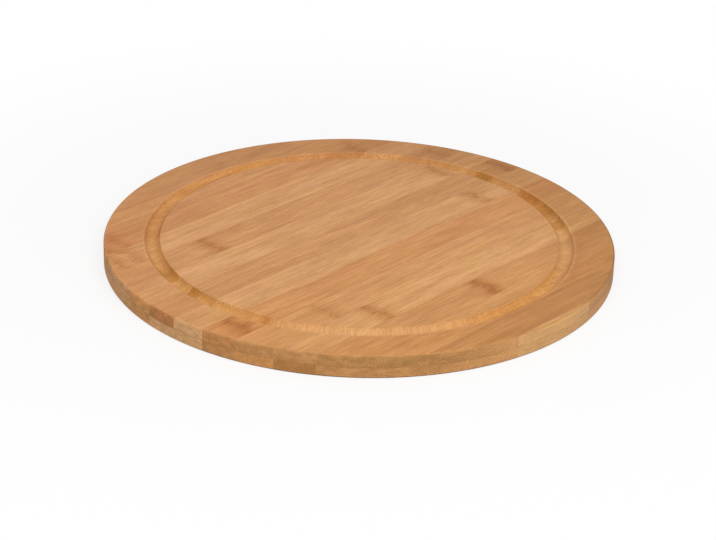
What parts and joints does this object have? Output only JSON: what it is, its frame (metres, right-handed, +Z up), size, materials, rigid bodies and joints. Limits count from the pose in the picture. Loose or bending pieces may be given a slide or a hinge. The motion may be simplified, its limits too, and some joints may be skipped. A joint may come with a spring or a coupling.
{
  "type": "round cutting board",
  "caption": "Round two-ply bamboo cutting board with a ring-shaped juice groove in its top face and an eased rim, glued up from parallel slats.",
  "frame": {"origin": "centre of the underside, on the surface that the board lies on", "axes": "+Z up, out of the grooved top face; +X along the slats and their grain; +Y across the slats"},
  "size_m": [0.3, 0.3, 0.0136],
  "materials": {
    "bamboo_pale": "satin, lightly oiled",
    "bamboo_tan": "satin, lightly oiled",
    "bamboo_russet": "satin, lightly oiled"
  },
  "bodies": {
    "root": {"lower_slat_01": "bamboo_pale", "lower_slat_02": "bamboo_tan", "lower_slat_03": "bamboo_pale", "lower_slat_04": "bamboo_tan", "lower_slat_05": "bamboo_russet", "lower_slat_06": "bamboo_tan", "lower_slat_07": "bamboo_pale", "lower_slat_08": "bamboo_tan", "lower_slat_09": "bamboo_pale", "lower_slat_10": "bamboo_tan", "lower_slat_11": "bamboo_russet", "lower_slat_12": "bamboo_tan", "lower_slat_13": "bamboo_pale", "lower_slat_14": "bamboo_tan", "lower_slat_15": "bamboo_tan", "lower_slat_16": "bamboo_pale", "upper_slat_01": "bamboo_pale", "upper_slat_02": "bamboo_russet", "upper_slat_03": "bamboo_tan", "upper_slat_04": "bamboo_tan", "upper_slat_05": "bamboo_pale", "upper_slat_06": "bamboo_tan", "upper_slat_07": "bamboo_russet", "upper_slat_08": "bamboo_pale", "upper_slat_09": "bamboo_tan", "upper_slat_10": "bamboo_pale", "upper_slat_11": "bamboo_tan", "upper_slat_12": "bamboo_pale", "upper_slat_13": "bamboo_russet", "upper_slat_14": "bamboo_tan", "upper_slat_15": "bamboo_tan", "upper_slat_16": "bamboo_tan"}
  },
  "joints": []
}
